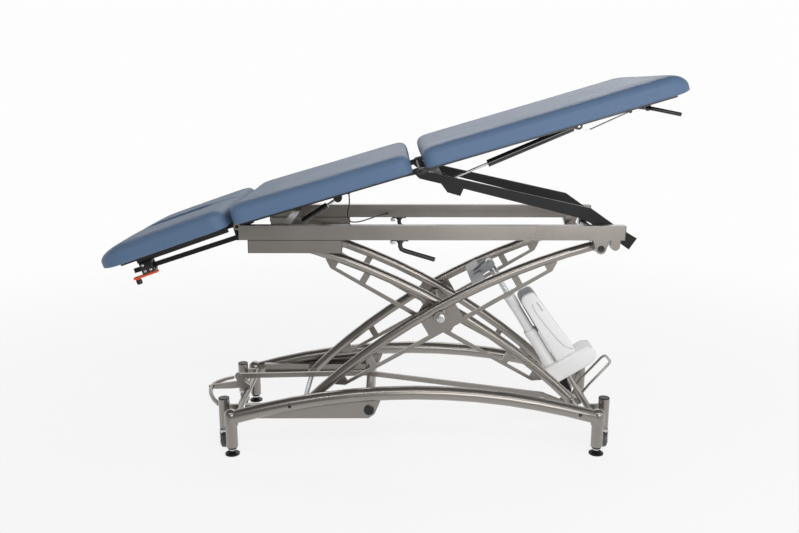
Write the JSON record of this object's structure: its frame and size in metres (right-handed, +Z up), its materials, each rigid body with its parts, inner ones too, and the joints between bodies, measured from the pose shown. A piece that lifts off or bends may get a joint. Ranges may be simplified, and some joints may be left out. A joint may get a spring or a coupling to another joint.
{
  "type": "electric therapy couch",
  "caption": "Height-adjustable treatment couch with padded head, middle and leg sections, a scissor lift driven by a linear actuator, arched base tubes, levelling feet and retractable castors.",
  "frame": {"origin": "on the floor, under the middle of the couch's box in plan", "axes": "+X along the couch towards the leg end, +Y to its far side, +Z up"},
  "size_m": [1.9536, 0.7, 1.3432],
  "materials": {
    "powder_coat": "metallic silver-taupe powder coat",
    "zinc": "zinc-plated steel",
    "dark_coat": "dark grey powder coat",
    "black_plastic": "black, satin",
    "actuator_grey": "light grey moulded plastic",
    "upholstery": "steel blue satin vinyl",
    "wheel_rubber": "grey tread",
    "lever_orange": "orange plastic"
  },
  "bodies": {
    "base": {"base_side_near": "powder_coat", "base_side_far": "powder_coat", "base_cross_tube": "powder_coat", "lower_guide_near": "powder_coat", "lower_guide_far": "powder_coat", "low_pivot_shaft": "zinc", "foot_near_left": "black_plastic", "foot_near_right": "black_plastic", "foot_far_left": "black_plastic", "foot_far_right": "black_plastic"},
    "carriage_left": {"castor_carriage_left": "powder_coat"},
    "carriage_right": {"castor_carriage_right": "powder_coat"},
    "castor_link": {"castor_link_bar": "powder_coat"},
    "fork_near_left": {"castor_fork_near_left": "zinc"},
    "fork_near_right": {"castor_fork_near_right": "zinc"},
    "fork_far_left": {"castor_fork_far_left": "zinc"},
    "fork_far_right": {"castor_fork_far_right": "zinc"},
    "wheel_near_left": {"castor_wheel_near_left": "wheel_rubber"},
    "wheel_near_right": {"castor_wheel_near_right": "wheel_rubber"},
    "wheel_far_left": {"castor_wheel_far_left": "wheel_rubber"},
    "wheel_far_right": {"castor_wheel_far_right": "wheel_rubber"},
    "inner_arms": {"inner_arm_near": "powder_coat", "inner_arm_far": "powder_coat", "centre_shaft": "zinc"},
    "upper_axle": {"upper_roller_axle": "zinc"},
    "outer_arms": {"outer_arm_near": "powder_coat", "outer_arm_far": "powder_coat", "lift_cross_bracket": "zinc"},
    "lower_axle": {"lower_roller_axle": "zinc"},
    "actuator": {"actuator_housing": "actuator_grey", "control_box": "actuator_grey"},
    "actuator_piston": {"actuator_piston": "zinc"},
    "top_frame": {"rail_near": "powder_coat", "rail_far": "powder_coat", "top_cross_left": "powder_coat", "frame_roller_tube": "zinc", "upper_guide_near": "powder_coat", "upper_guide_far": "powder_coat", "mid_hinge_shaft": "zinc", "release_cable": "black_plastic"},
    "mid_section": {"mid_board": "black_plastic", "mid_pad": "upholstery", "leg_hinge_shaft": "zinc"},
    "leg_frame": {"leg_frame_near": "dark_coat", "leg_frame_far": "dark_coat", "leg_frame_cross": "dark_coat"},
    "leg_section": {"leg_board": "black_plastic", "leg_pad": "upholstery"},
    "leg_spring_case": {"leg_spring_cylinder": "black_plastic"},
    "leg_spring_rod": {"leg_spring_rod": "zinc"},
    "leg_release": {"leg_release_handle": "black_plastic"},
    "release_link": {"release_link_rod": "zinc"},
    "mid_spring_case": {"mid_spring_cylinder": "black_plastic"},
    "mid_spring_rod": {"mid_spring_rod": "zinc"},
    "head_section": {"head_board": "black_plastic", "head_pad": "upholstery"},
    "head_strut": {"head_strut": "dark_coat"},
    "clamp_lever": {"clamp_lever": "lever_orange"},
    "mid_lever_near": {"mid_release_lever_near": "black_plastic"},
    "mid_lever_far": {"mid_release_lever_far": "black_plastic"}
  },
  "joints": [
    {"name": "lift", "type": "hinge", "parent": "base", "child": "inner_arms", "pos_m": [0.681, 0, 0.157], "axis": [0, 1, 0], "range_deg": [-18, 2]},
    {"name": "scissor_centre", "type": "hinge", "parent": "inner_arms", "child": "outer_arms", "pos_m": [0.1831, 0, 0.49537], "axis": [0, 1, 0], "range_deg": [-4.1, 36.1]},
    {"name": "top_level", "type": "hinge", "parent": "outer_arms", "child": "top_frame", "pos_m": [0.72463, 0, 0.75833], "axis": [0, 1, 0], "range_deg": [-18.1, 2.1]},
    {"name": "upper_roller", "type": "hinge", "parent": "inner_arms", "child": "upper_axle", "pos_m": [-0.35844, 0, 0.75833], "axis": [0, 1, 0], "continuous": true},
    {"name": "lower_roller", "type": "hinge", "parent": "outer_arms", "child": "lower_axle", "pos_m": [-0.31481, 0, 0.157], "axis": [0, 1, 0], "continuous": true},
    {"name": "actuator_swing", "type": "hinge", "parent": "base", "child": "actuator", "pos_m": [0.681, 0, 0.157], "axis": [0, 1, 0], "range_deg": [-20.6, 2.4]},
    {"name": "actuator_stroke", "type": "slide", "parent": "actuator", "child": "actuator_piston", "axis": [-0.5257, 0, 0.8506], "range_m": [-0.152, 0.018]},
    {"name": "castor_lower", "type": "hinge", "parent": "base", "child": "carriage_left", "pos_m": [-0.55, 0, 0.14432], "axis": [0, 1, 0], "range_deg": [-12, 0]},
    {"name": "castor_lower_right", "type": "hinge", "parent": "base", "child": "carriage_right", "pos_m": [0.735, 0, 0.14404], "axis": [0, 1, 0], "range_deg": [-0.1, 12.1]},
    {"name": "castor_link", "type": "hinge", "parent": "carriage_left", "child": "castor_link", "pos_m": [-0.585, 0, 0.20432], "axis": [0, 1, 0], "range_deg": [-0.1, 11.5]},
    {"name": "swivel_near_left", "type": "hinge", "parent": "carriage_left", "child": "fork_near_left", "pos_m": [-0.603, -0.19, 0.07], "axis": [0, 0, 1], "continuous": true},
    {"name": "swivel_near_right", "type": "hinge", "parent": "carriage_right", "child": "fork_near_right", "pos_m": [0.787, -0.19, 0.07], "axis": [0, 0, 1], "continuous": true},
    {"name": "swivel_far_left", "type": "hinge", "parent": "carriage_left", "child": "fork_far_left", "pos_m": [-0.603, 0.19, 0.07], "axis": [0, 0, 1], "continuous": true},
    {"name": "swivel_far_right", "type": "hinge", "parent": "carriage_right", "child": "fork_far_right", "pos_m": [0.787, 0.19, 0.07], "axis": [0, 0, 1], "continuous": true},
    {"name": "spin_near_left", "type": "hinge", "parent": "fork_near_left", "child": "wheel_near_left", "pos_m": [-0.603, -0.202, 0.032], "axis": [1, 0, 0], "continuous": true},
    {"name": "spin_near_right", "type": "hinge", "parent": "fork_near_right", "child": "wheel_near_right", "pos_m": [0.787, -0.202, 0.032], "axis": [1, 0, 0], "continuous": true},
    {"name": "spin_far_left", "type": "hinge", "parent": "fork_far_left", "child": "wheel_far_left", "pos_m": [-0.603, 0.202, 0.032], "axis": [1, 0, 0], "continuous": true},
    {"name": "spin_far_right", "type": "hinge", "parent": "fork_far_right", "child": "wheel_far_right", "pos_m": [0.787, 0.202, 0.032], "axis": [1, 0, 0], "continuous": true},
    {"name": "mid_tilt", "type": "hinge", "parent": "top_frame", "child": "mid_section", "pos_m": [-0.51487, 0, 0.83393], "axis": [0, -1, 0], "range_deg": [-16.49, 2], "deforming": ["release_cable"]},
    {"name": "leg_frame_tilt", "type": "hinge", "parent": "mid_section", "child": "leg_frame", "pos_m": [0.10514, 0, 1.01747], "axis": [0, -1, 0], "range_deg": [-3.6, 29]},
    {"name": "leg_tilt", "type": "hinge", "parent": "leg_frame", "child": "leg_section", "pos_m": [0.10514, 0, 1.01747], "axis": [0, -1, 0], "range_deg": [-27.8, 10]},
    {"name": "leg_spring_swing", "type": "hinge", "parent": "leg_section", "child": "leg_spring_case", "pos_m": [0.69935, 0.068, 1.15899], "axis": [0, -1, 0], "range_deg": [-5.7, 2.1]},
    {"name": "leg_spring_stroke", "type": "slide", "parent": "leg_spring_case", "child": "leg_spring_rod", "axis": [-0.9205, 0, -0.3907], "range_m": [-0.0405, 0.0145]},
    {"name": "leg_release", "type": "hinge", "parent": "leg_section", "child": "leg_release", "pos_m": [0.86819, 0, 1.22995], "axis": [0, -1, 0], "range_deg": [0, 14]},
    {"name": "release_link", "type": "hinge", "parent": "leg_release", "child": "release_link", "pos_m": [0.88947, 0, 1.21078], "axis": [0, -1, 0], "range_deg": [-13.7, 0.1]},
    {"name": "mid_spring_swing", "type": "hinge", "parent": "top_frame", "child": "mid_spring_case", "pos_m": [-0.33487, 0, 0.80293], "axis": [0, -1, 0], "range_deg": [-32.8, 4.1]},
    {"name": "mid_spring_stroke", "type": "slide", "parent": "mid_spring_case", "child": "mid_spring_rod", "axis": [0.84, 0, 0.5426], "range_m": [-0.026, 0.0034]},
    {"name": "head_tilt", "type": "hinge", "parent": "mid_section", "child": "head_section", "pos_m": [-0.5374, 0, 0.82726], "axis": [0, 1, 0], "range_deg": [-30, 20]},
    {"name": "strut_swing", "type": "hinge", "parent": "mid_section", "child": "head_strut", "pos_m": [-0.525, -0.2, 0.78713], "axis": [0, 1, 0], "range_deg": [-30.8, 20.6]},
    {"name": "clamp_lever", "type": "hinge", "parent": "head_section", "child": "clamp_lever", "pos_m": [-0.82766, -0.2, 0.66069], "axis": [-0.3305, 0, 0.9438], "range_deg": [0, 60]},
    {"name": "mid_lever_near", "type": "hinge", "parent": "top_frame", "child": "mid_lever_near", "pos_m": [0.03813, -0.25, 0.78], "axis": [0, 0, -1], "range_deg": [0, 35]},
    {"name": "mid_lever_far", "type": "hinge", "parent": "top_frame", "child": "mid_lever_far", "pos_m": [0.03813, 0.25, 0.78], "axis": [0, 0, 1], "range_deg": [0, 35]}
  ],
  "couplings": [
    {"joint": "scissor_centre", "follows": "lift", "ratio": -2},
    {"joint": "top_level", "follows": "lift", "ratio": 1},
    {"joint": "actuator_swing", "follows": "lift", "ratio": 1.1371},
    {"joint": "actuator_stroke", "follows": "lift", "m_per_rad": 0.48134},
    {"joint": "castor_lower_right", "follows": "castor_lower", "ratio": -1},
    {"joint": "castor_link", "follows": "castor_lower", "ratio": -0.9455},
    {"joint": "leg_frame_tilt", "follows": "mid_tilt", "ratio": -1.752},
    {"joint": "mid_spring_swing", "follows": "mid_tilt", "ratio": 1.9735},
    {"joint": "mid_spring_stroke", "follows": "mid_tilt", "m_per_rad": 0.08851},
    {"joint": "leg_spring_swing", "follows": "leg_tilt", "ratio": 0.19708},
    {"joint": "leg_spring_stroke", "follows": "leg_tilt", "m_per_rad": 0.08081},
    {"joint": "strut_swing", "follows": "head_tilt", "ratio": 1.02},
    {"joint": "release_link", "follows": "leg_release", "ratio": -0.96}
  ]
}
